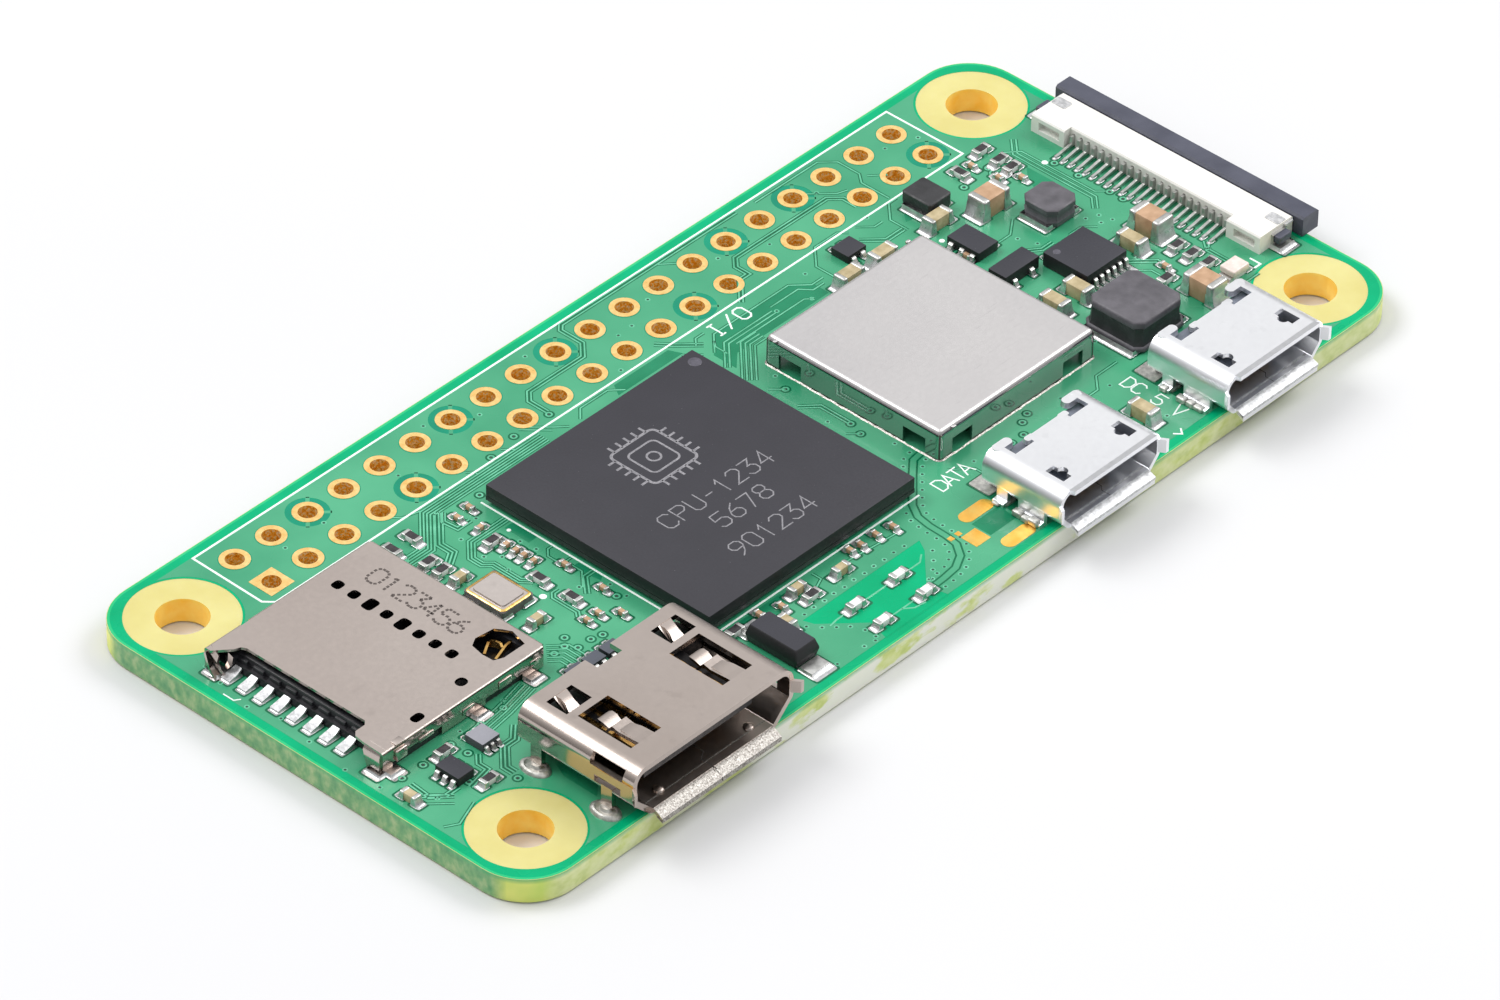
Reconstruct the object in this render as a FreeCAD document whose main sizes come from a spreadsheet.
import FreeCAD, Part
import os
import Sketcher
from FreeCAD import Placement, Rotation, Vector

# Single-board computer on a 65 x 30 mm board: processor, shielded radio, memory card socket,
# video, data and power ports, ribbon connector, and the small parts between them.
#
# Frame, in millimetres: the origin is the centre of the mounting-hole pattern on the board's
# underside. +Z is up through the board, +X runs along the long side towards the ribbon
# connector, and +Y points to the header holes. The ports open towards -Y.
#
# Heights above the board's top face are measured from "top", the board's thickness.

doc = FreeCAD.newDocument("single_board_computer")


# ---------------------------------------------------------------------------------------------
# Driving dimensions
# ---------------------------------------------------------------------------------------------

SIZES = {
    # bare board and its header
    "board_length": 65, "board_width": 30, "board_corner": 3, "top": 1.4,
    "mount_spacing_x": 58, "mount_spacing_y": 23, "mount_hole_radius": 1.375,
    "header_pitch": 2.54, "header_y": 11.5, "header_bore": 0.5, "header_plating": 0.05,
    "header_pad_radius": 0.8, "header_pad_thickness": 0.035,
    # processor package
    "processor_x": -5, "processor_y": -0.6, "processor_side": 15,
    "processor_ball_gap": 0.25, "processor_substrate_height": 0.25, "processor_mould_height": 0.7,
    "processor_ball_radius": 0.22, "processor_ball_pitch": 0.8,
    "processor_die_side": 7, "processor_die_height": 0.3,
    "memory_die_length": 9, "memory_die_width": 8, "memory_die_height": 0.15,
    # shield can and the radio parts in it
    "shield_x": 11.25, "shield_y": -1.33, "shield_length": 11.8, "shield_width": 11.75,
    "shield_height": 1.8, "shield_wall": 0.15, "shield_edge": 0.3,
    "shield_vent_height": 1.0, "shield_vent_length": 1.5, "shield_vent_inset": 0.95,
    "radio_side": 4.9, "radio_height": 0.6,
    "radio_crystal_length": 2, "radio_crystal_width": 1.6, "radio_crystal_height": 0.5,
    # memory card socket
    "card_x": -25.27, "card_y": 2.03, "card_length": 11.45, "card_width": 11.85,
    "card_height": 1.3, "card_sheet": 0.15, "card_edge": 0.12,
    "card_mouth_depth": 1.35, "card_mouth_low": -1.7, "card_mouth_high": 6.8,
    "card_floor": 0.2, "card_bar_start": 0.85, "card_bar_height": 0.5,
    "card_rail_height": 0.9, "card_rail_width": 0.45, "card_side_gap_height": 0.5,
    "card_contact_pitch": 1.1, "card_contact_width": 0.6, "card_contact_sheet": 0.12,
    "card_window_side": 0.7, "card_window_x": -23.15,
    "detect_blade_sheet": 0.12, "detect_blade_height": 0.35, "detect_blade_base": 0.45,
    # video port
    "video_x": -19.8, "video_width": 11.3, "video_height": 3.2, "video_back": -7.6,
    "video_front": -15.1, "video_sheet": 0.3, "video_edge": 0.9,
    "video_chamfer": 1.3, "video_lip": 0.55, "video_lip_drop": 0.35,
    "video_tongue_width": 7.6, "video_tongue_height": 0.65, "video_tongue_base": 1.35,
    "video_contact_pitch": 0.68, "video_contact_width": 0.2, "video_contact_sheet": 0.1,
    "video_window_offset": 3.2, "video_window_width": 2.1,
    "video_window_front": -13.67, "video_window_rear": -10.2, "video_spring_width": 1.0,
    "video_tab_offset": 3.65, "video_tab_width": 1.75,
    "video_tab_front": -9.75, "video_tab_rear": -8.4, "video_hook_width": 0.7,
    # data and power ports, which are the same connector
    "data_x": 8.9, "power_x": 21.5, "port_width": 7.6, "port_height": 2.4, "port_back": -10.2,
    "port_front": -15.3, "port_sheet": 0.25, "port_edge": 0.85, "port_step": 0.75,
    "port_floor_width": 6.2, "port_waist": 0.8, "port_lip": 0.5, "port_lip_drop": 0.35,
    "port_tongue_width": 3.7, "port_tongue_height": 0.6, "port_tongue_base": 0.55,
    "port_contact_pitch": 0.65, "port_contact_width": 0.3, "port_contact_sheet": 0.1,
    "port_window_offset": 2.47, "port_window_width": 0.6, "port_window_belly": 0.3,
    "port_window_front": -14.6, "port_window_rear": -13.4,
    "port_notch_offset": 2.05, "port_notch_width": 1.4, "port_notch_depth": 1.25,
    "port_tab_width": 2.7,
    # ribbon connector
    "ribbon_length": 15.5, "ribbon_back": 29.9, "ribbon_front": 32.0,
    "ribbon_height": 1.1, "ribbon_end_block": 0.5, "ribbon_end_length": 2.25,
    "ribbon_slot_base": 0.3, "ribbon_slot_height": 0.5, "ribbon_slot_depth": 1.7,
    "ribbon_contact_pitch": 0.5, "ribbon_contact_sheet": 0.16, "ribbon_contact_foot": 1.45,
    "latch_length": 16.8, "latch_bar": 1.3, "latch_height": 1.2, "latch_clearance": 0.06,
    "latch_tongue_reach": 0.9, "latch_tongue_height": 0.22,
    # crystal oscillator can beside the card socket
    "crystal_x": -17.5, "crystal_y": 1.25, "crystal_length": 2.2, "crystal_width": 2.7,
    "crystal_base_height": 0.5, "crystal_lid_height": 0.12, "crystal_wall": 0.25,
    # power chip
    "power_chip_x": 22.6, "power_chip_y": -1.82, "power_chip_length": 3.1,
    "power_chip_width": 3.0, "power_chip_height": 0.9, "power_lead_pitch": 0.47,
    # coils
    "coil_x": 20.55, "coil_y": -6.95, "coil_side": 3.6, "coil_foot_side": 3.9,
    "coil_height": 1.85, "coil_plate": 0.45, "coil_foot": 0.3, "coil_corner": 0.35,
    "coil_drum_radius": 1.0, "coil_winding_radius": 1.65,
    "small_coil_x": 24.6, "small_coil_y": 2.3, "small_coil_length": 2.5,
    "small_coil_width": 2.3, "small_coil_height": 1.2,
    "cube_coil_x": 20.75, "cube_coil_y": 7.35, "cube_coil_side": 2.0, "cube_coil_height": 1.0,
    # surge diode by the board's edge
    "diode_x": -10.75, "diode_y": -11.3, "diode_length": 1.75, "diode_width": 3.4,
    "diode_height": 1.1, "diode_front_tab": 0.85, "diode_rear_tab": 0.4, "diode_tab_width": 1.3,
    "diode_tab_sheet": 0.2,
    # fitted chip parts: length, width and height, and how far the end caps reach in
    "resistor_length": 1.0, "resistor_width": 0.5, "resistor_height": 0.35,
    "resistor_cap": 0.25,
    "small_capacitor_length": 1.0, "small_capacitor_width": 0.5, "small_capacitor_height": 0.5,
    "small_capacitor_cap": 0.25,
    "medium_capacitor_length": 1.6, "medium_capacitor_width": 0.8,
    "medium_capacitor_height": 0.8, "medium_capacitor_cap": 0.3,
    "large_capacitor_length": 2.0, "large_capacitor_width": 1.25,
    "large_capacitor_height": 1.25, "large_capacitor_cap": 0.45,
    "tiny_capacitor_length": 0.6, "tiny_capacitor_width": 0.3, "tiny_capacitor_height": 0.3,
    "tiny_capacitor_cap": 0.15,
    "antenna_capacitor_length": 1.0, "antenna_capacitor_width": 0.5,
    "antenna_capacitor_height": 0.4, "antenna_capacitor_cap": 0.25,
    "chip_cap_skin": 0.02,
    # status light
    "light_x": 27.3, "light_y": -7.85, "light_length": 1.6, "light_width": 0.8,
    "light_base_height": 0.25, "light_lens_height": 0.35, "light_cap": 0.3,
    # gold pads
    "gold_pad_thickness": 0.035, "gold_pad_corner": 0.42,
    # solder round the port legs
    "leg_sheet": 0.3, "leg_width": 0.7, "leg_reach": 1.1, "solder_height": 0.3,
    "leg_rear_y": -8.8, "leg_front_y": -13.4,
}

# Where each fitted chip part sits: the x and y of its middle, and whether its length runs
# along Y instead of X.
PLACES = {
    "resistor": [
        (-18.5, 7.5, 1), (-17.1, 7.5, 1), (-15.1, 0.75, 1), (-15.05, -1.4, 1), (23.9, 7.8, 1),
        (-17.95, 5.55, 0), (-17.95, 4.65, 0), (-14.6, 4.45, 0), (-27.75, -4.9, 0),
        (-27.75, -7.9, 0), (-11.55, -8.9, 0), (-6.9, -9.75, 0), (26.15, 8.35, 0),
        (26.15, 7.1, 0), (26.1, 6.2, 0), (26.9, -4.35, 0), (26.9, -5.35, 0),
        (26.9, -6.45, 0), (24.4, -5.75, 0),
    ],
    "small_capacitor": [
        (-17.8, 3.6, 0), (-17.55, -1.35, 0), (-31.25, -6.1, 1), (-7.1, -8.95, 0),
        (-4.5, -9.5, 0), (-9.3, -10.3, 1),
    ],
    "medium_capacitor": [
        (13.2, 5.9, 0), (15.7, 5.85, 0), (19.9, 5.85, 0), (18.75, -3.15, 1), (20.45, -3.25, 1),
        (25.4, -2.6, 1), (15.1, -12.2, 1),
    ],
    "large_capacitor": [(22.75, 4.85, 0), (27.1, -2.4, 1), (24.9, -7.9, 1)],
    "tiny_capacitor": [
        (-14.4, 7.0, 1), (-13.4, 7.15, 1), (-14.2, 5.65, 0), (-14.3, 3.8, 0), (-14.3, 3.15, 0),
        (-14.3, 2.6, 0), (-14.3, 1.95, 0), (-13.4, 0.65, 1), (-13.45, -1.95, 1),
        (-15.8, -3.1, 1), (-15.0, -3.1, 1), (-14.2, -3.9, 1), (-9.7, -8.85, 1),
        (-8.5, -9.25, 1), (-3.0, -8.75, 1), (-2.3, -8.85, 1), (-1.2, -8.85, 1),
        (-0.15, -9.05, 1), (24.85, 7.85, 1), (25.05, 6.15, 1), (25.9, 5.3, 1),
        (25.25, -5.0, 1), (18.9, 2.95, 1),
    ],
    "antenna_capacitor": [(-6.0, -11.8, 0), (-2.85, -11.8, 0), (-6.0, -13.6, 0),
                          (-2.85, -13.6, 0)],
}

# Small moulded packages: x, y, length, width, height, leads on each long side, and whether
# the leads sit along Y (on the sides that face -X and +X) instead of X.
PACKAGES = {
    "regulator": (19.5, 0.29, 2.6, 1.2, 0.8, 2, 0),
    "level_shifter": (-28.5, -6.35, 1.1, 1.55, 0.55, 3, 1),
    "card_filter": (-25.8, -5.6, 1.2, 1.2, 0.5, 3, 0),
    "line_guard_a": (-19.05, -5.42, 1.05, 0.75, 0.36, 2, 0),
    "line_guard_b": (-17.82, -5.42, 1.05, 0.75, 0.36, 2, 0),
    "line_guard_c": (-16.6, -5.42, 1.05, 0.75, 0.36, 2, 0),
    "load_switch": (19.75, 3.3, 1.5, 2.2, 0.6, 3, 1),
    "clock_buffer": (15.0, 7.55, 1.4, 1.2, 0.5, 2, 0),
}

# Windows in the card socket's top plate besides its row of contact windows:
# low x, high x, low y, high y.
CARD_WINDOWS = [
    (-22.2, -20.1, -3.0, -1.06), (-24.75, -23.95, -3.1, -2.35), (-28.15, -27.25, -3.35, -2.85),
    (-28.6, -28.0, 7.4, 7.95),
]

# Windows in the lower edge of the card socket's side walls: low x, high x.
CARD_SIDE_GAPS = [(-29.6, -26.4), (-23.7, -21.3)]

# Gilded lands of the aerial socket: low x, high x, low y, high y.
ROUND_LANDS = [(2.6, 4.8, -11.5, -10.65), (2.6, 4.8, -14.3, -13.45)]
SQUARE_LANDS = [
    (1.6, 2.65, -13.0, -11.95), (1.05, 1.35, -11.8, -11.5), (1.6, 1.9, -11.8, -11.5),
]

# Which of the eight contact windows is wider, counted from +Y.
WIDE_WINDOWS = {2, 4}


class Size(float):
    """A number that also carries the expression that binds it to the spreadsheet."""

    def __new__(cls, value, text=None):
        number = super().__new__(cls, value)
        number.text = text or f"{float(value):.6f}"
        return number

    @staticmethod
    def of(value):
        return value if isinstance(value, Size) else Size(value)

    def join(self, other, sign, value):
        return Size(value, f"({self.text} {sign} {Size.of(other).text})")

    def __add__(self, other):
        return self.join(other, "+", float(self) + float(other))

    def __sub__(self, other):
        return self.join(other, "-", float(self) - float(other))

    def __mul__(self, other):
        return self.join(other, "*", float(self) * float(other))

    def __truediv__(self, other):
        return self.join(other, "/", float(self) / float(other))

    def __radd__(self, other):
        return Size.of(other) + self

    def __rsub__(self, other):
        return Size.of(other) - self

    def __rmul__(self, other):
        return Size.of(other) * self

    def __neg__(self):
        return Size(-float(self), f"(0 - {self.text})")


class Sheet:
    """A spreadsheet of aliased cells, read back as Size attributes."""

    def __init__(self, name, values):
        self.cells = doc.addObject("Spreadsheet::Sheet", name)
        for row, (alias, value) in enumerate(values.items(), 1):
            self.cells.set(f"A{row}", alias)
            self.cells.set(f"B{row}", str(value))
            self.cells.setAlias(f"B{row}", alias)
            setattr(self, alias, Size(value, f"{name}.{alias}"))

    def __getitem__(self, alias):
        return getattr(self, alias)


def flat_rows(tables, columns):
    """One alias for each number of each row, such as resistor_3_x."""
    return {
        f"{kind}_{number}_{column}": value
        for kind, rows in tables.items()
        for number, row in enumerate(rows)
        for column, value in zip(columns, row)
    }


PACKAGE_COLUMNS = ("x", "y", "length", "width", "height")

dim = Sheet("Sizes", SIZES)
place = Sheet("Places", flat_rows(PLACES, ("x", "y")))
package = Sheet("Packages", flat_rows({k: [v] for k, v in PACKAGES.items()}, PACKAGE_COLUMNS))
doc.recompute()

top = dim.top
nodes = {}


# ---------------------------------------------------------------------------------------------
# Ways of making solids
# ---------------------------------------------------------------------------------------------

def bind(thing, path, size):
    thing.setExpression(path, Size.of(size).text)


def put(thing, x=0, y=0, z=0):
    for axis, size in zip("xyz", (x, y, z)):
        bind(thing, f"Placement.Base.{axis}", size)
    return thing


def spread(middle, size):
    """The two ends of a length about its middle."""
    return middle - size / 2, middle + size / 2


def block(x, y, z):
    """A Part::Box between the two ends given for each axis."""
    solid = doc.addObject("Part::Box", "Block")
    for name, (low, high) in zip(("Length", "Width", "Height"), (x, y, z)):
        bind(solid, name, Size.of(high) - low)
    return put(solid, x[0], y[0], z[0])


def node(name, shape):
    """Label an object as a piece that is handed over under this name."""
    shape.Label = name
    nodes[name] = shape
    return shape


def compound(members):
    group = doc.addObject("Part::Compound", "Group")
    group.Links = members
    return group


def cut(base, tool):
    result = doc.addObject("Part::Cut", "Cut")
    result.Base = base
    result.Tool = tool
    return result


def fuse(members):
    result = doc.addObject("Part::MultiFuse", "Fuse")
    result.Shapes = members
    return result


def rectangle(across, up):
    """The corners of a rectangle in a sketch, from the two ends given for each direction."""
    return [(across[0], up[0]), (across[1], up[0]), (across[1], up[1]), (across[0], up[1])]


def table_rectangles(table):
    """A rectangle for each row of low x, high x, low y, high y."""
    return [rectangle((Size(a), Size(b)), (Size(c), Size(d))) for a, b, c, d in table]


class Circle:
    """A round outline in a sketch."""

    def __init__(self, x, y, radius):
        self.x, self.y, self.radius = x, y, radius


def fix(sketch, kind, *where, size):
    """A dimension of a sketch, bound to its size."""
    number = sketch.addConstraint(Sketcher.Constraint(kind, *where, float(size)))
    bind(sketch, f"Constraints[{number}]", size)


def draw_circle(sketch, circle):
    centre = Vector(float(circle.x), float(circle.y), 0)
    ring = sketch.addGeometry(Part.Circle(centre, Vector(0, 0, 1), float(circle.radius)), False)
    fix(sketch, "Radius", ring, size=circle.radius)
    fix(sketch, "DistanceX", -1, 1, ring, 3, size=circle.x)
    fix(sketch, "DistanceY", -1, 1, ring, 3, size=circle.y)


def draw_polygon(sketch, corners):
    points = [Vector(float(x), float(y), 0) for x, y in corners]
    count = len(points)
    first = sketch.GeometryCount
    for i in range(count):
        sketch.addGeometry(Part.LineSegment(points[i], points[(i + 1) % count]), False)
    for i in range(count):
        joined = Sketcher.Constraint("Coincident", first + i, 2, first + (i + 1) % count, 1)
        sketch.addConstraint(joined)
    for i, (x, y) in enumerate(corners):
        fix(sketch, "DistanceX", -1, 1, first + i, 1, size=x)
        fix(sketch, "DistanceY", -1, 1, first + i, 1, size=y)


class Piece:
    """A PartDesign body that is built from sketches on its own origin planes."""

    def __init__(self, name):
        self.body = node(name, doc.addObject("PartDesign::Body", name))
        self.body.AllowCompound = True

    def sketch(self, plane, outlines, offset):
        sketch = self.body.newObject("Sketcher::SketchObject", "Outline")
        origin = self.body.Origin.OriginFeatures
        support = next(feature for feature in origin if feature.Role == plane)
        sketch.AttachmentSupport = (support, [""])
        sketch.MapMode = "FlatFace"
        bind(sketch, "AttachmentOffset.Base.z", offset)
        for outline in outlines:
            if isinstance(outline, Circle):
                draw_circle(sketch, outline)
            else:
                draw_polygon(sketch, outline)
        return sketch

    def prism(self, plane, outlines, ends, remove=False):
        """Extrude outlines on a plane between the two ends given along its axis.

        The XZ plane's normal is -Y, so its sketch starts at the high end.
        """
        low, high = Size.of(ends[0]), Size.of(ends[1])
        offset = -high if plane == "XZ_Plane" else low
        kind = "PartDesign::Pocket" if remove else "PartDesign::Pad"
        feature = self.body.newObject(kind, "Prism")
        feature.Profile = self.sketch(plane, outlines, offset)
        bind(feature, "Length", high - low)
        feature.Reversed = remove
        before = self.body.Shape.Volume if remove else None
        doc.recompute()
        if remove and not self.body.Shape.Volume < before:
            raise RuntimeError(f"{self.body.Label}: a pocket removed nothing")
        return feature

    def pad(self, plane, outlines, ends):
        return self.prism(plane, outlines, ends)

    def pocket(self, plane, outlines, ends):
        return self.prism(plane, outlines, ends, remove=True)

    def dress(self, kind, size, wanted):
        """Round or chamfer the edges that the function wanted picks."""
        doc.recompute()
        base = self.body.Tip
        edges = [f"Edge{i}" for i, edge in enumerate(base.Shape.Edges, 1) if wanted(edge)]
        if not edges:
            raise RuntimeError(f"{self.body.Label}: no edge to {kind}")
        feature = self.body.newObject(f"PartDesign::{kind}", kind)
        feature.Base = (base, edges)
        bind(feature, "Radius" if kind == "Fillet" else "Size", size)
        doc.recompute()
        return feature

    def hollow(self, size, wanted):
        """Keep a wall of this size inside the solid, open at the faces that wanted picks."""
        doc.recompute()
        base = self.body.Tip
        faces = [f"Face{i}" for i, face in enumerate(base.Shape.Faces, 1) if wanted(face)]
        feature = self.body.newObject("PartDesign::Thickness", "Hollow")
        feature.Base = (base, faces)
        bind(feature, "Value", size)
        feature.Reversed = True
        feature.Mode = 0
        feature.Join = 1
        doc.recompute()
        return feature


NEAR = 1e-4


def along(axis, *limits):
    """Pick straight edges along an axis, inside the limits given as (axis, low, high)."""
    def wanted(edge):
        if len(edge.Vertexes) != 2:
            return False
        run = edge.Vertexes[1].Point - edge.Vertexes[0].Point
        middle = (edge.Vertexes[1].Point + edge.Vertexes[0].Point) / 2
        straight = abs(abs(getattr(run, axis)) - run.Length) < NEAR
        return straight and all(
            float(low) - NEAR <= getattr(middle, name) <= float(high) + NEAR
            for name, low, high in limits
        )
    return wanted


def facing(axis, *levels):
    """Pick flat faces that lie at one of the levels along an axis."""
    def wanted(face):
        box = face.BoundBox
        low, high = getattr(box, f"{axis.upper()}Min"), getattr(box, f"{axis.upper()}Max")
        return any(abs(low - level) < NEAR and abs(high - level) < NEAR for level in levels)
    return wanted


# ---------------------------------------------------------------------------------------------
# Board and header
# ---------------------------------------------------------------------------------------------

def header_holes(radius):
    """A circle at each of the forty header holes."""
    return [
        Circle((column - 9.5) * dim.header_pitch, dim.header_y + (row - 0.5) * dim.header_pitch,
               radius)
        for column in range(20)
        for row in range(2)
    ]


def leg_slots():
    """Where the port shells' legs go through the board: middle x, middle y."""
    half = dim.video_width / 2 - dim.leg_sheet / 2
    return [
        (dim.video_x + side * half, y)
        for side in (-1, 1)
        for y in (dim.leg_rear_y, dim.leg_front_y)
    ]


def circuit_board():
    board = Piece("circuit_board")
    outline = rectangle(spread(Size(0), dim.board_length), spread(Size(0), dim.board_width))
    board.pad("XY_Plane", [outline], (0, top))
    board.dress("Fillet", dim.board_corner, along("z"))
    mounts = [
        Circle(sx * dim.mount_spacing_x / 2, sy * dim.mount_spacing_y / 2, dim.mount_hole_radius)
        for sx in (-1, 1) for sy in (-1, 1)
    ]
    board.pocket("XY_Plane", mounts, (0, top))
    board.pocket("XY_Plane", header_holes(dim.header_bore + dim.header_plating), (0, top))
    slots = [
        rectangle(spread(x, dim.leg_sheet), spread(y, dim.leg_width)) for x, y in leg_slots()
    ]
    board.pocket("XY_Plane", slots, (top - dim.leg_reach, top))
    board.pocket("XY_Plane", header_holes(dim.header_pad_radius), (0, dim.header_pad_thickness))


def header_hole_plating():
    """Copper barrels with a pad on each face; the lower pads lie flush in the board."""
    plating = Piece("header_hole_plating")
    thickness = dim.header_pad_thickness
    plating.pad("XY_Plane", header_holes(dim.header_pad_radius), (0, thickness))
    plating.pad("XY_Plane", header_holes(dim.header_bore + dim.header_plating), (0, top))
    plating.pad("XY_Plane", header_holes(dim.header_pad_radius), (top, top + thickness))
    first = (-9.5 * dim.header_pitch, dim.header_y - dim.header_pitch / 2)
    square = rectangle(*(spread(middle, 2 * dim.header_pad_radius) for middle in first))
    plating.pad("XY_Plane", [square], (top, top + thickness))
    plating.pocket("XY_Plane", header_holes(dim.header_bore), (0, top + thickness))


def gold_pads():
    """Bare gilded lands of the aerial test socket, which isn't fitted."""
    pads = Piece("gold_pads")
    thickness = (top, top + dim.gold_pad_thickness)
    pads.pad("XY_Plane", table_rectangles(ROUND_LANDS), thickness)
    pads.dress("Fillet", dim.gold_pad_corner, along("z"))
    pads.pad("XY_Plane", table_rectangles(SQUARE_LANDS), thickness)


# ---------------------------------------------------------------------------------------------
# Processor
# ---------------------------------------------------------------------------------------------

def processor():
    x = spread(dim.processor_x, dim.processor_side)
    y = spread(dim.processor_y, dim.processor_side)
    base = top + dim.processor_ball_gap
    mould_base = base + dim.processor_substrate_height
    node("processor_substrate", block(x, y, (base, mould_base)))

    def chip(length, width, low, height):
        return block(spread(dim.processor_x, length), spread(dim.processor_y, width),
                     (low, low + height))

    side = dim.processor_die_side
    processor_die = node("processor_die",
                         chip(side, side, mould_base, dim.processor_die_height))
    memory_base = mould_base + dim.processor_die_height
    memory_die = node("memory_die", chip(dim.memory_die_length, dim.memory_die_width,
                                         memory_base, dim.memory_die_height))
    solid = block(x, y, (mould_base, mould_base + dim.processor_mould_height))
    node("processor_mould", cut(solid, fuse([processor_die, memory_die])))

    reach = 8
    balls = []
    for column in range(-reach, reach + 1):
        for row in range(-reach, reach + 1):
            ball = doc.addObject("Part::Sphere", "Ball")
            bind(ball, "Radius", dim.processor_ball_radius)
            ball.Angle1, ball.Angle2 = -34.62, 34.62
            put(ball, dim.processor_x + column * dim.processor_ball_pitch,
                dim.processor_y + row * dim.processor_ball_pitch,
                top + dim.processor_ball_gap / 2)
            balls.append(ball)
    node("processor_solder_balls", compound(balls))


# ---------------------------------------------------------------------------------------------
# Shield can and radio
# ---------------------------------------------------------------------------------------------

def shield_can():
    can = Piece("shield_can")
    x = spread(dim.shield_x, dim.shield_length)
    y = spread(dim.shield_y, dim.shield_width)
    lid = top + dim.shield_height
    can.pad("XY_Plane", [rectangle(x, y)], (top, lid))
    can.dress("Fillet", dim.shield_edge, along("z"))
    can.dress("Fillet", dim.shield_edge, lambda edge: edge.BoundBox.ZMin > float(lid) - NEAR)
    can.hollow(dim.shield_wall, facing("z", float(top)))

    vent_z = (top, top + dim.shield_vent_height)

    def vents(ends):
        inset, length = dim.shield_vent_inset, dim.shield_vent_length
        return [(ends[0] + inset, ends[0] + inset + length),
                (ends[1] - inset - length, ends[1] - inset)]

    can.pocket("YZ_Plane", [rectangle(vent, vent_z) for vent in vents(y)], (x[0] - 1, x[1] + 1))
    can.pocket("XZ_Plane", [rectangle(vent, vent_z) for vent in vents(x)], (y[0] - 1, y[1] + 1))


def radio_parts():
    x, y = dim.shield_x, dim.shield_y
    chip = (spread(x - 1.2, dim.radio_side), spread(y + 0.6, dim.radio_side))
    node("radio_chip", block(*chip, (top, top + dim.radio_height)))
    crystal = (spread(x + 3.4, dim.radio_crystal_length), spread(y - 3, dim.radio_crystal_width))
    node("radio_crystal", block(*crystal, (top, top + dim.radio_crystal_height)))
    parts = [
        block(spread(x + dx, dim.tiny_capacitor_width), spread(y + dy, dim.tiny_capacitor_length),
              (top, top + dim.tiny_capacitor_height))
        for dx in (-4.6, 2.2, 3.0, 3.8) for dy in (-1.5, 0.5, 2.5)
    ]
    node("radio_capacitors", compound(parts))


# ---------------------------------------------------------------------------------------------
# Memory card socket
# ---------------------------------------------------------------------------------------------

CARD_CONTACTS = 8


def card_rows():
    """The y of each card contact, from +Y."""
    middle = dim.card_y + 0.62
    return [middle + (3.5 - i) * dim.card_contact_pitch for i in range(CARD_CONTACTS)]


def card_socket():
    x = spread(dim.card_x, dim.card_length)
    y = spread(dim.card_y, dim.card_width)
    sheet = dim.card_sheet
    lid = top + dim.card_height

    shell = Piece("card_socket_shell")
    shell.pad("XY_Plane", [rectangle(x, y)], (top, lid))
    shell.dress("Fillet", dim.card_edge, along("x", ("z", lid, lid)))
    shell.dress("Fillet", dim.card_edge, along("y", ("z", lid, lid), ("x", x[1], x[1])))
    shell.pocket("XY_Plane", [rectangle((x[0] - 1, x[1] - sheet), (y[0] + sheet, y[1] - sheet))],
                 (top, lid - sheet))
    mouth = rectangle((x[0] - 1, x[0] + dim.card_mouth_depth),
                      (dim.card_mouth_low, dim.card_mouth_high))
    windows = table_rectangles(CARD_WINDOWS)
    for i, row in enumerate(card_rows()):
        width = dim.card_window_side * (1.35 if i in WIDE_WINDOWS else 1)
        windows.append(rectangle(spread(dim.card_window_x + 0.03 * i, width),
                                 spread(row + 0.17, dim.card_window_side)))
    shell.pocket("XY_Plane", [mouth], (top + sheet, lid))
    shell.pocket("XY_Plane", windows, (lid - sheet, lid))
    gaps = [rectangle((Size(low), Size(high)), (top, top + dim.card_side_gap_height))
            for low, high in CARD_SIDE_GAPS]
    shell.pocket("XZ_Plane", gaps, (y[0] - 1, y[1] + 1))

    inner_x = (x[0] + 0.2, x[1] - sheet)
    inner_y = (y[0] + sheet, y[1] - sheet)
    rail = dim.card_rail_width
    solid = fuse([
        block((x[0] + dim.card_bar_start, inner_x[1]), inner_y, (top, top + dim.card_floor)),
        block((x[0] + dim.card_bar_start, x[0] + dim.card_mouth_depth),
              (dim.card_mouth_low, dim.card_mouth_high), (top, top + dim.card_bar_height)),
        block((inner_x[1] - rail, inner_x[1]), inner_y, (top, top + dim.card_rail_height)),
        block((x[0] + 1.5, inner_x[1]), (inner_y[0], inner_y[0] + rail),
              (top, top + dim.card_rail_height)),
    ])

    contacts = Piece("card_socket_contacts")
    metal = dim.card_contact_sheet
    path = [(x[0] - 0.15, 0), (x[0] + 0.45, 0), (x[0] + 0.65, 0.24), (x[0] + 5.0, 0.24),
            (x[0] + 6.8, 0.62), (x[0] + 7.4, 0.45)]
    profile = [(a, top + b) for a, b in path]
    profile += [(a, top + b + metal) for a, b in reversed(path)]
    for row in card_rows():
        contacts.pad("XZ_Plane", [profile], spread(row, dim.card_contact_width))
    node("card_socket_base", cut(solid, contacts.body))


# The two blades of the card-detect switch stand on edge. Root and tip, in x and y.
DETECT_SPRING = ((-20.17, -1.1), (-22.0, -1.75))
DETECT_CONTACT = ((-20.17, -2.25), (-21.75, -2.55))


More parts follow.
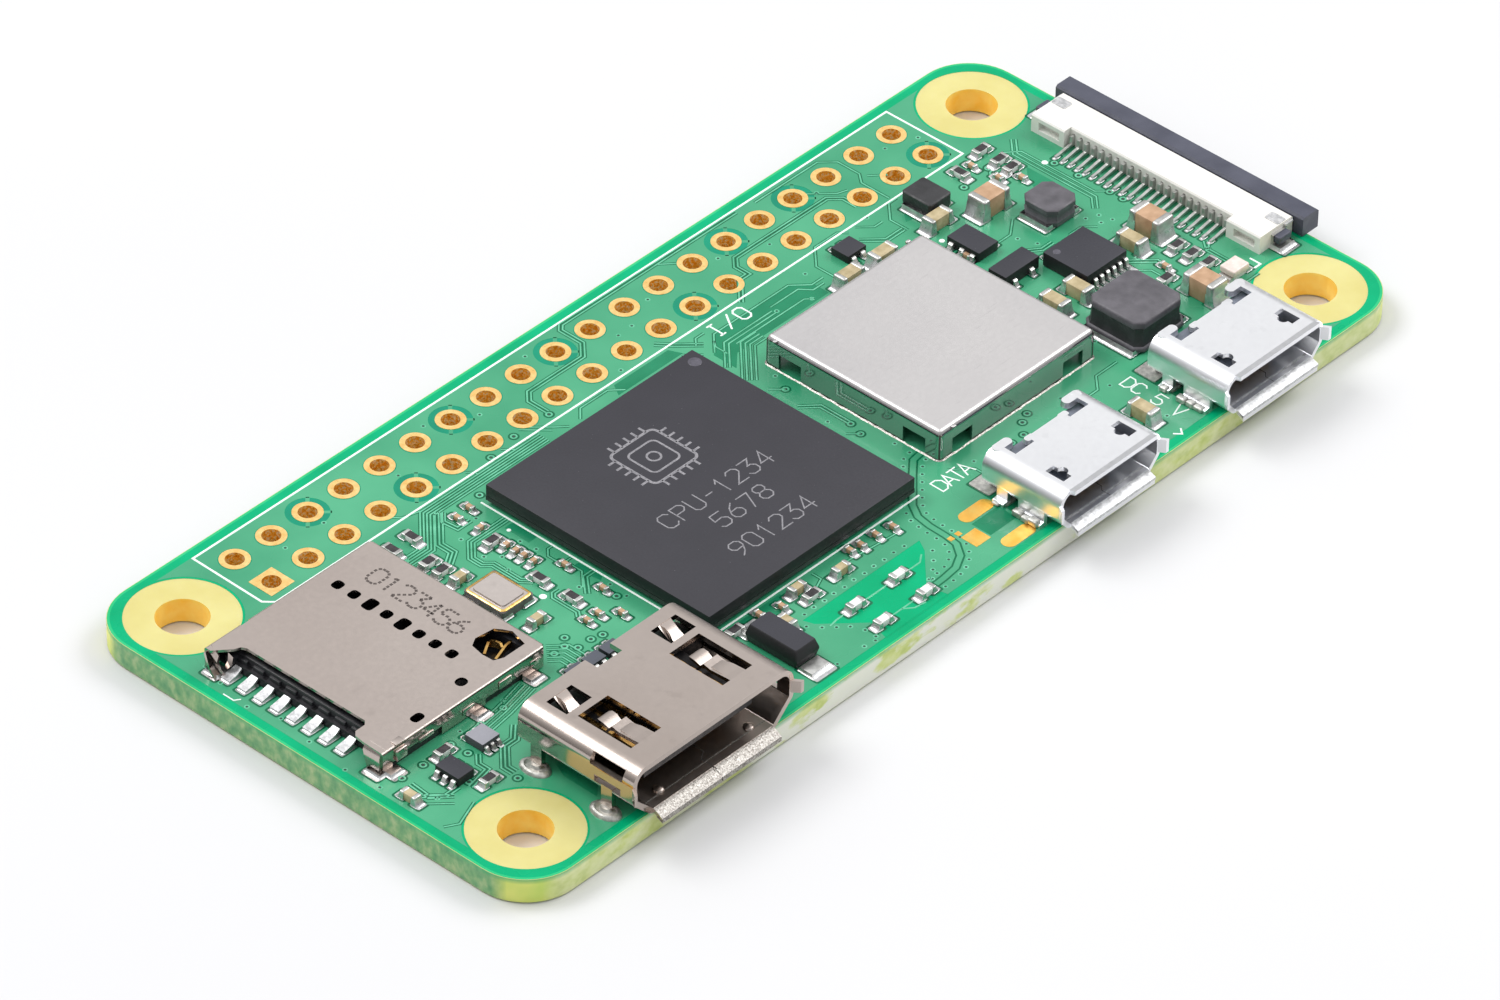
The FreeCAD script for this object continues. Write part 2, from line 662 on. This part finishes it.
def detect_blade(name, root, tip):
    """A thin upright blade from root to tip."""
    run = Vector(tip[0] - root[0], tip[1] - root[1], 0)
    blade = doc.addObject("Part::Box", "Blade")
    bind(blade, "Length", run.Length)
    bind(blade, "Width", dim.detect_blade_sheet)
    bind(blade, "Height", dim.detect_blade_height)
    blade.Placement = Placement(Vector(), Rotation(Vector(1, 0, 0), run))
    put(blade, root[0], root[1], top + dim.detect_blade_base)
    node(name, blade)


# ---------------------------------------------------------------------------------------------
# Ports
# ---------------------------------------------------------------------------------------------

def video_port():
    x, sheet = dim.video_x, dim.video_sheet
    half = dim.video_width / 2
    lid = top + dim.video_height
    back, front = dim.video_back, dim.video_front
    shoulder = top + dim.video_chamfer

    shell = Piece("video_port_shell")
    section = [
        (x - half, lid), (x - half, shoulder), (x - half + dim.video_chamfer, top),
        (x + half - dim.video_chamfer, top), (x + half, shoulder), (x + half, lid),
    ]
    shell.pad("XZ_Plane", [section], (front, back))
    shell.dress("Fillet", dim.video_edge, along("y", ("z", lid, lid)))
    shell.dress("Fillet", 0.4, along("y", ("z", top, shoulder)))
    shell.hollow(sheet, facing("y", float(front), float(back)))

    latch_windows = [
        rectangle(spread(x + side * dim.video_window_offset, dim.video_window_width),
                  (dim.video_window_front, dim.video_window_rear))
        for side in (-1, 1)
    ]
    tab_windows = [
        rectangle(spread(x + side * dim.video_tab_offset, dim.video_tab_width),
                  (dim.video_tab_front, dim.video_tab_rear))
        for side in (-1, 1)
    ]
    notch = rectangle(spread(x - 0.1, dim.video_tab_width), (dim.video_tab_rear, back + 1))
    shell.pocket("XY_Plane", latch_windows + tab_windows + [notch], (lid - sheet - 0.05, lid))
    side_window = rectangle((Size(-14.4), Size(-12.3)), (lid - 0.85, lid - 0.25))
    side_slot = rectangle((Size(-14.3), Size(-12.6)), (top + 1.45, top + 1.85))
    shell.pocket("YZ_Plane", [side_window, side_slot], (x - half - 1, x + half + 1))

    # sprung tongues in the windows, bent so that they press on the plug
    tongue = [(-13.75, 0), (-12.4, -0.1), (-11.9, 0.0), (-11.3, -0.75)]
    strip = [(Size(a), lid + b) for a, b in tongue]
    strip += [(Size(a), lid + b - 0.2) for a, b in reversed(tongue)]
    for side in (-1, 1):
        shell.pad("YZ_Plane", [strip],
                  spread(x + side * dim.video_window_offset, dim.video_spring_width))
    hook = [(Size(-8.35), lid), (Size(-9.2), lid - 0.5), (Size(-9.2), lid - 0.7),
            (Size(-8.35), lid - 0.2)]
    for side in (-1, 1):
        shell.pad("YZ_Plane", [hook],
                  spread(x + side * dim.video_tab_offset, dim.video_hook_width))

    # flared mouth: a long lower lip, and an ear on each side
    drop, lip = dim.video_lip_drop, dim.video_lip
    lower = [(front + 0.05, top), (front - lip, top - drop), (front - lip, top - drop + sheet),
             (front + 0.05, top + sheet)]
    shell.pad("YZ_Plane", [lower], (x - half + 1.5, x + half - 1.5))
    for side in (-1, 1):
        edge = x + side * half
        ear = [(edge, front + 0.05), (edge + side * 0.3, front - 0.4),
               (edge + side * 0.1, front - 0.4), (edge - side * 0.25, front + 0.05)]
        shell.pad("XY_Plane", [ear], (shoulder + 0.3, lid - 0.9))

    # legs that stand in the board
    legs = [rectangle(spread(a, dim.leg_sheet), spread(b, dim.leg_width))
            for a, b in leg_slots()]
    shell.pad("XY_Plane", legs, (top - dim.leg_reach, shoulder + 0.2))

    # insulator: a block across the back, with the tongue that carries the contacts
    insulator = Piece("video_port_insulator")
    inner = half - sheet - 0.05
    low = top + sheet + 0.02
    wall = [
        (x - inner + 0.6, lid - sheet - 0.5), (x - inner, lid - sheet - 0.95),
        (x - inner, shoulder + 0.15), (x - inner + 1.2, low + 0.03),
        (x + inner - 1.2, low + 0.03), (x + inner, shoulder + 0.15),
        (x + inner, lid - sheet - 0.95), (x + inner - 0.6, lid - sheet - 0.5),
    ]
    block_front = back - 1.9
    insulator.pad("XZ_Plane", [wall], (block_front, back - 0.3))
    tongue_base = top + dim.video_tongue_base
    tongue_top = tongue_base + dim.video_tongue_height
    insulator.pad("XZ_Plane", [rectangle(spread(x, dim.video_tongue_width),
                                         (tongue_base, tongue_top))],
                  (front + 1.0, block_front))

    strips = [
        block(spread(x + (i - 4.5) * dim.video_contact_pitch, dim.video_contact_width),
              (front + 1.3, block_front), (tongue_top, tongue_top + dim.video_contact_sheet))
        for i in range(10)
    ]
    strips += [
        block(spread(x + (i - 4) * dim.video_contact_pitch, dim.video_contact_width),
              (front + 1.3, block_front), (tongue_base - dim.video_contact_sheet, tongue_base))
        for i in range(9)
    ]
    node("video_port_contacts", compound(strips))


def small_port(name, x):
    """One of the two equal five-contact ports, centred on this x."""
    half, sheet = dim.port_width / 2, dim.port_sheet
    floor = dim.port_floor_width / 2
    lid, waist = top + dim.port_height, top + dim.port_waist
    back, front = dim.port_back, dim.port_front

    shell = Piece(f"{name}_port_shell")
    section = [(x - half, lid), (x - half, waist), (x - floor, top),
               (x + floor, top), (x + half, waist), (x + half, lid)]
    shell.pad("XZ_Plane", [section], (front, back))
    shell.dress("Fillet", dim.port_edge, along("y", ("z", lid, lid)))
    shell.dress("Fillet", 0.35, along("y", ("z", top, waist)))
    shell.hollow(sheet, facing("y", float(front), float(back)))

    windows = [rectangle(spread(x + side * dim.port_window_offset, dim.port_window_width),
                         (dim.port_window_front, dim.port_window_rear))
               for side in (-1, 1)]
    belly_x = dim.port_window_offset - dim.port_window_width / 2
    belly_y = (dim.port_window_front + dim.port_window_rear) / 2
    bellies = [Circle(x + side * belly_x, belly_y, dim.port_window_belly) for side in (-1, 1)]
    notches = [rectangle(spread(x + side * dim.port_notch_offset, dim.port_notch_width),
                         (back - dim.port_notch_depth, back + 1))
               for side in (-1, 1)]
    middle = rectangle(spread(x, dim.port_tab_width), (back - dim.port_step, back + 1))
    shell.pocket("XY_Plane", windows + [middle], (lid - sheet, lid))
    shell.pocket("XY_Plane", bellies, (lid - sheet, lid))
    shell.pocket("XY_Plane", notches, (lid - sheet, lid))

    # flared mouth: an upper lip, a deeper lower lip and two ears
    lip, drop = dim.port_lip, dim.port_lip_drop
    upper = [(front + 0.05, lid), (front - lip * 0.7, lid + 0.12),
             (front - lip * 0.7, lid + 0.12 - sheet), (front + 0.05, lid - sheet)]
    lower = [(front + 0.05, top), (front - lip, top - drop), (front - lip, top - drop + sheet),
             (front + 0.05, top + sheet)]
    shell.pad("YZ_Plane", [upper], (x - half + 0.7, x + half - 0.7))
    shell.pad("YZ_Plane", [lower], (x - floor + 0.2, x + floor - 0.2))
    for side in (-1, 1):
        edge = x + side * half
        ear = [(edge, front + 0.05), (edge + side * 0.25, front - 0.35),
               (edge + side * 0.05, front - 0.35), (edge - side * 0.2, front + 0.05)]
        shell.pad("XY_Plane", [ear], (waist + 0.15, lid - 0.65))

    # feet on the board: two folded tabs on each side
    for side in (-1, 1):
        wall = x + side * (half - 0.13)
        for low, high in ((-11.9, -11.2), (-14.3, -12.6)):
            foot = [(wall - side * 0.12, waist + 0.1), (wall - side * 0.12, top),
                    (wall + side * 0.45, top), (wall + side * 0.45, top + 0.2),
                    (wall + side * 0.12, top + 0.25), (wall + side * 0.12, waist + 0.1)]
            shell.pad("XZ_Plane", [foot], (Size(low), Size(high)))

    insulator = Piece(f"{name}_port_insulator")
    inner, deep = half - sheet - 0.04, floor - sheet * 0.5 - 0.04
    low = top + sheet + 0.02
    wall = [
        (x - inner + 0.45, lid - sheet - 0.2), (x - inner, lid - sheet - 0.65),
        (x - inner, waist + 0.15), (x - deep + 0.05, low + 0.03), (x + deep - 0.05, low + 0.03),
        (x + inner, waist + 0.15), (x + inner, lid - sheet - 0.65),
        (x + inner - 0.45, lid - sheet - 0.2),
    ]
    block_front = back - 2.2
    insulator.pad("XZ_Plane", [wall], (block_front, back - 0.4))
    tongue_base = top + dim.port_tongue_base + 0.45
    tongue_top = tongue_base + dim.port_tongue_height
    insulator.pad("XZ_Plane", [rectangle(spread(x, dim.port_tongue_width),
                                         (tongue_base, tongue_top))],
                  (front + 0.9, block_front))

    strips = [
        block(spread(x + (i - 2) * dim.port_contact_pitch, dim.port_contact_width),
              (front + 1.2, block_front), (tongue_base - dim.port_contact_sheet, tongue_base))
        for i in range(5)
    ]
    node(f"{name}_port_contacts", compound(strips))


def port_leg_solder():
    """Solder that stands up round each of the video port's legs."""
    solder = Piece("port_leg_solder")
    rings = [rectangle(spread(x + 0.2 * (1 if x > dim.video_x else -1), 1.2), spread(y, 1.7))
             for x, y in leg_slots()]
    solder.pad("XY_Plane", rings, (top, top + dim.solder_height))
    solder.dress("Fillet", 0.5, along("z"))
    solder.dress("Fillet", 0.2, lambda edge: edge.BoundBox.ZMin > float(
        top + dim.solder_height) - NEAR)
    slots = [rectangle(spread(x, dim.leg_sheet), spread(y, dim.leg_width))
             for x, y in leg_slots()]
    solder.pocket("XY_Plane", slots, (top, top + dim.solder_height))


# ---------------------------------------------------------------------------------------------
# Ribbon connector
# ---------------------------------------------------------------------------------------------

RIBBON_CONTACTS = 22


def ribbon_rows():
    """The y of each ribbon contact."""
    return [(i - 10.5) * dim.ribbon_contact_pitch for i in range(RIBBON_CONTACTS)]


def ribbon_connector():
    y = spread(Size(0), dim.ribbon_length)
    back, front = dim.ribbon_back, dim.ribbon_front
    lid = top + dim.ribbon_height
    slot_base = top + dim.ribbon_slot_base
    slot = (slot_base, slot_base + dim.ribbon_slot_height)

    housing = Piece("ribbon_connector_housing")
    housing.pad("XY_Plane", [rectangle((back, front), y)], (top, lid))
    ends = [(y[0], y[0] + dim.ribbon_end_length), (y[1] - dim.ribbon_end_length, y[1])]
    housing.pad("XY_Plane", [rectangle((back - dim.ribbon_end_block, back), end) for end in ends],
                (top, lid))
    housing.dress("Chamfer", 0.08, along("y", ("z", lid, lid)))
    pockets = [rectangle((end[0] + 0.35, end[1] - 0.5), (top + 0.3, lid - 0.3)) for end in ends]
    housing.pocket("YZ_Plane", pockets,
                   (back - dim.ribbon_end_block, back - dim.ribbon_end_block + 0.4))
    housing.pocket("YZ_Plane", [rectangle((y[0] + 1.0, y[1] - 1.0), slot)],
                   (front - dim.ribbon_slot_depth, front))
    grooves = [rectangle(spread(row, dim.ribbon_contact_sheet + 0.02), (top, slot[1]))
               for row in ribbon_rows()]
    housing.pocket("YZ_Plane", grooves, (back, front - dim.ribbon_slot_depth + 0.01))

    # each contact is a flat plate: a foot on the board, a spine, and a lower arm in the slot
    contacts = Piece("ribbon_connector_contacts")
    foot = back - dim.ribbon_contact_foot
    profile = [
        (foot, top), (foot + 0.45, top), (back - 0.25, top + 0.12), (back + 0.3, top + 0.12),
        (back + 0.35, slot_base - 0.02), (front - 0.9, slot_base - 0.02),
        (front - 0.9, slot_base + 0.1), (front - 1.1, slot_base + 0.16),
        (back + 0.3, slot_base + 0.12), (back + 0.3, slot[1] - 0.05),
        (back - 0.25, slot[1] - 0.05), (back - 0.25, top + 0.3), (foot + 0.4, top + 0.15),
        (foot, top + 0.12),
    ]
    for row in ribbon_rows():
        contacts.pad("XZ_Plane", [profile], spread(row, dim.ribbon_contact_sheet))

    # sliding latch: a bar across the mouth, and a tongue that presses the ribbon down
    latch = Piece("ribbon_connector_latch")
    reach = spread(Size(0), dim.latch_length)
    bar = (front + dim.latch_clearance, front + dim.latch_bar)
    latch.pad("XY_Plane", [rectangle(bar, reach)], (top + 0.05, top + dim.latch_height))
    latch.dress("Chamfer", 0.12, along("y", ("z", top + dim.latch_height, top + dim.latch_height)))
    tongue_top = slot[1] - 0.03
    latch.pad("XY_Plane", [rectangle((front - dim.latch_tongue_reach, bar[0]),
                                     (y[0] + 1.1, y[1] - 1.1))],
              (tongue_top - dim.latch_tongue_height, tongue_top))

    anchors = Piece("ribbon_connector_anchors")
    for side, end in ((-1, y[0]), (1, y[1])):
        section = [(end, top), (end + side * 0.65, top), (end + side * 0.65, top + 0.15),
                   (end + side * 0.15, top + 0.15), (end + side * 0.15, top + 0.8),
                   (end, top + 0.8)]
        anchors.pad("YZ_Plane", [section], (front - 1.7, front - 0.6))


# ---------------------------------------------------------------------------------------------
# Crystal, power chip, coils, diode
# ---------------------------------------------------------------------------------------------

def clock_crystal():
    x = spread(dim.crystal_x, dim.crystal_length)
    y = spread(dim.crystal_y, dim.crystal_width)
    lid = top + dim.crystal_base_height
    wall = dim.crystal_wall
    base = Piece("clock_crystal_base")
    base.pad("XY_Plane", [rectangle(x, y)], (top, lid))
    base.dress("Fillet", 0.15, along("z"))
    base.pocket("XY_Plane", [rectangle((x[0] + wall, x[1] - wall), (y[0] + wall, y[1] - wall))],
                (top + 0.15, lid))
    blank = (x[0] + wall + 0.1, x[1] - wall - 0.1), (y[0] + wall + 0.1, y[1] - wall - 0.1)
    node("clock_crystal_blank", block(*blank, (top + 0.15, top + 0.22)))
    cover = Piece("clock_crystal_lid")
    cover.pad("XY_Plane", [rectangle((x[0] + 0.06, x[1] - 0.06), (y[0] + 0.06, y[1] - 0.06))],
              (lid, lid + dim.crystal_lid_height))
    cover.dress("Fillet", 0.2, along("z"))


def power_chip():
    x = spread(dim.power_chip_x, dim.power_chip_length)
    y = spread(dim.power_chip_y, dim.power_chip_width)
    body = Piece("power_chip_body")
    body.pad("XY_Plane", [rectangle(x, y)], (top + 0.05, top + dim.power_chip_height))
    lid = top + dim.power_chip_height
    body.dress("Chamfer", 0.06, lambda edge: edge.BoundBox.ZMin > float(lid) - NEAR)
    leads = []
    for i in range(6):
        lead = spread(dim.power_chip_x + 0.2 + (i - 2.5) * dim.power_lead_pitch, 0.24)
        leads.append(block(lead, (y[0] - 0.45, y[0]), (top, top + 0.18)))
        leads.append(block(lead, (y[1], y[1] + 0.45), (top, top + 0.18)))
    node("power_chip_leads", compound(leads))


def power_coil():
    """The large coil: a drum with a square plate on top, wound on its waist."""
    lid, foot = top + dim.coil_height, top + 0.1
    core = Piece("power_coil_core")
    plate = [rectangle(spread(dim.coil_x, side), spread(dim.coil_y, side))
             for side in (dim.coil_side, dim.coil_foot_side)]
    core.pad("XY_Plane", [plate[0]], (lid - dim.coil_plate, lid))
    core.pad("XY_Plane", [plate[1]], (foot, foot + dim.coil_foot))
    core.dress("Chamfer", dim.coil_corner, along("z"))
    core.dress("Chamfer", 0.15, lambda edge: edge.BoundBox.ZMin > float(lid) - NEAR)
    core.pad("XY_Plane", [Circle(dim.coil_x, dim.coil_y, dim.coil_drum_radius)],
             (foot, lid - dim.coil_plate))
    winding = Piece("power_coil_winding")
    rings = [Circle(dim.coil_x, dim.coil_y, dim.coil_winding_radius),
             Circle(dim.coil_x, dim.coil_y, dim.coil_drum_radius + 0.05)]
    winding.pad("XY_Plane", rings, (foot + dim.coil_foot + 0.02, lid - dim.coil_plate - 0.02))
    low, high = spread(dim.coil_x, dim.coil_foot_side)
    node("power_coil_terminals", compound([
        block(side, spread(dim.coil_y, dim.coil_foot_side - 0.6), (top, foot))
        for side in ((low - 0.1, low + 1.1), (high - 1.1, high + 0.1))
    ]))


def small_coils():
    middles = [
        (dim.small_coil_x, dim.small_coil_y, dim.small_coil_length, dim.small_coil_width,
         dim.small_coil_height),
        (dim.cube_coil_x, dim.cube_coil_y, dim.cube_coil_side, dim.cube_coil_side,
         dim.cube_coil_height),
    ]
    bodies = Piece("small_coil_bodies")
    terminals = []
    for x, y, length, width, height in middles:
        bodies.pad("XY_Plane", [rectangle(spread(x, length - 0.3), spread(y, width))],
                   (top + 0.1, top + height))
        for low, high in ((x - length / 2, x - length / 2 + 0.6),
                          (x + length / 2 - 0.6, x + length / 2)):
            terminals.append(block((low, high), spread(y, width - 0.4), (top, top + 0.1)))
    bodies.dress("Fillet", 0.3, along("z"))
    node("small_coil_terminals", compound(terminals))


def surge_diode():
    x = spread(dim.diode_x, dim.diode_length)
    y = spread(dim.diode_y, dim.diode_width)
    lid = top + dim.diode_height
    body = Piece("surge_diode_body")
    slope, belt = 0.12, top + 0.5
    section = [(x[0] + slope, top + 0.1), (x[1] - slope, top + 0.1), (x[1], belt),
               (x[1] - 0.25, lid), (x[0] + 0.25, lid), (x[0], belt)]
    body.pad("XZ_Plane", [section], y)
    width = spread(dim.diode_x, dim.diode_tab_width)
    sheet = (top, top + dim.diode_tab_sheet)
    node("surge_diode_tabs", compound([
        block(width, (y[0] - dim.diode_front_tab, y[0]), sheet),
        block(width, (y[1], y[1] + dim.diode_rear_tab), sheet),
    ]))


# ---------------------------------------------------------------------------------------------
# Small packages and chip parts
# ---------------------------------------------------------------------------------------------

def small_packages():
    bodies, leads = [], []
    for name, row in PACKAGES.items():
        x, y, length, width, height = (package[f"{name}_0_{c}"] for c in PACKAGE_COLUMNS)
        count, sideways = row[5:]
        bodies.append(block(spread(x, length), spread(y, width), (top + 0.03, top + height)))
        reach, thickness = 0.25, (top, top + 0.12)
        side = width if sideways else length
        for i in range(count):
            step = side / count
            shift = (i - (count - 1) / 2) * step
            lead = min(0.3, float(step) * 0.55)
            for end in (-1, 1):
                if sideways:
                    edge = x + end * length / 2
                    ends = (edge - reach, edge) if end < 0 else (edge, edge + reach)
                    leads.append(block(ends, spread(y + shift, Size(lead)), thickness))
                else:
                    edge = y + end * width / 2
                    ends = (edge - reach, edge) if end < 0 else (edge, edge + reach)
                    leads.append(block(spread(x + shift, Size(lead)), ends, thickness))
    node("small_chip_bodies", compound(bodies))
    node("small_chip_leads", compound(leads))


def chip_parts(kind):
    """Every chip part of one kind: its ceramic body, and the two metal caps on its ends."""
    length, width, height, cap = (dim[f"{kind}_{c}"] for c in ("length", "width", "height", "cap"))
    skin = dim.chip_cap_skin
    bodies, caps = [], []
    for number, (_, _, turned) in enumerate(PLACES[kind]):
        x, y = place[f"{kind}_{number}_x"], place[f"{kind}_{number}_y"]

        def solid(run, across, z):
            return block(across, run, z) if turned else block(run, across, z)

        middle, side = (y, x) if turned else (x, y)
        run = spread(middle, length)
        bodies.append(solid((run[0] + cap, run[1] - cap), spread(side, width - 2 * skin),
                            (top + skin, top + height - skin)))
        for ends in ((run[0], run[0] + cap), (run[1] - cap, run[1])):
            caps.append(solid(ends, spread(side, width), (top, top + height)))
    node(f"{kind}_bodies", compound(bodies))
    node(f"{kind}_end_caps", compound(caps))


def status_light():
    x = spread(dim.light_x, dim.light_length)
    y = spread(dim.light_y, dim.light_width)
    cap = dim.light_cap
    base = (top + 0.02, top + dim.light_base_height)
    node("status_light_base", block((x[0] + cap, x[1] - cap), y, base))
    lens = Piece("status_light_lens")
    lens.pad("XY_Plane", [rectangle((x[0] + cap, x[1] - cap), y)],
             (base[1], base[1] + dim.light_lens_height))
    lens.dress("Chamfer", 0.08, lambda edge: edge.BoundBox.ZMin > float(
        base[1] + dim.light_lens_height) - NEAR)
    node("status_light_end_caps", compound([
        block(ends, y, (top, base[1])) for ends in ((x[0], x[0] + cap), (x[1] - cap, x[1]))
    ]))


# ---------------------------------------------------------------------------------------------
# The whole computer
# ---------------------------------------------------------------------------------------------

circuit_board()
header_hole_plating()
gold_pads()
processor()
shield_can()
radio_parts()
card_socket()
detect_blade("card_detect_spring", *DETECT_SPRING)
detect_blade("card_detect_contact", *DETECT_CONTACT)
video_port()
small_port("data", dim.data_x)
small_port("power", dim.power_x)
port_leg_solder()
ribbon_connector()
clock_crystal()
power_chip()
power_coil()
small_coils()
surge_diode()
small_packages()
for kind in PLACES:
    chip_parts(kind)
status_light()

doc.recompute()

for thing in doc.Objects:
    if "Invalid" in thing.State or "Error" in thing.State:
        raise RuntimeError(f"{thing.Label} is {thing.State}")

os.makedirs("parts", exist_ok=True)
for name, thing in nodes.items():
    if thing.Shape.isNull() or not thing.Shape.isValid():
        raise RuntimeError(f"{name} has no valid shape")
    thing.Shape.exportStep(f"parts/{name}.step")
    print(name, len(thing.Shape.Solids), round(thing.Shape.Volume, 3))
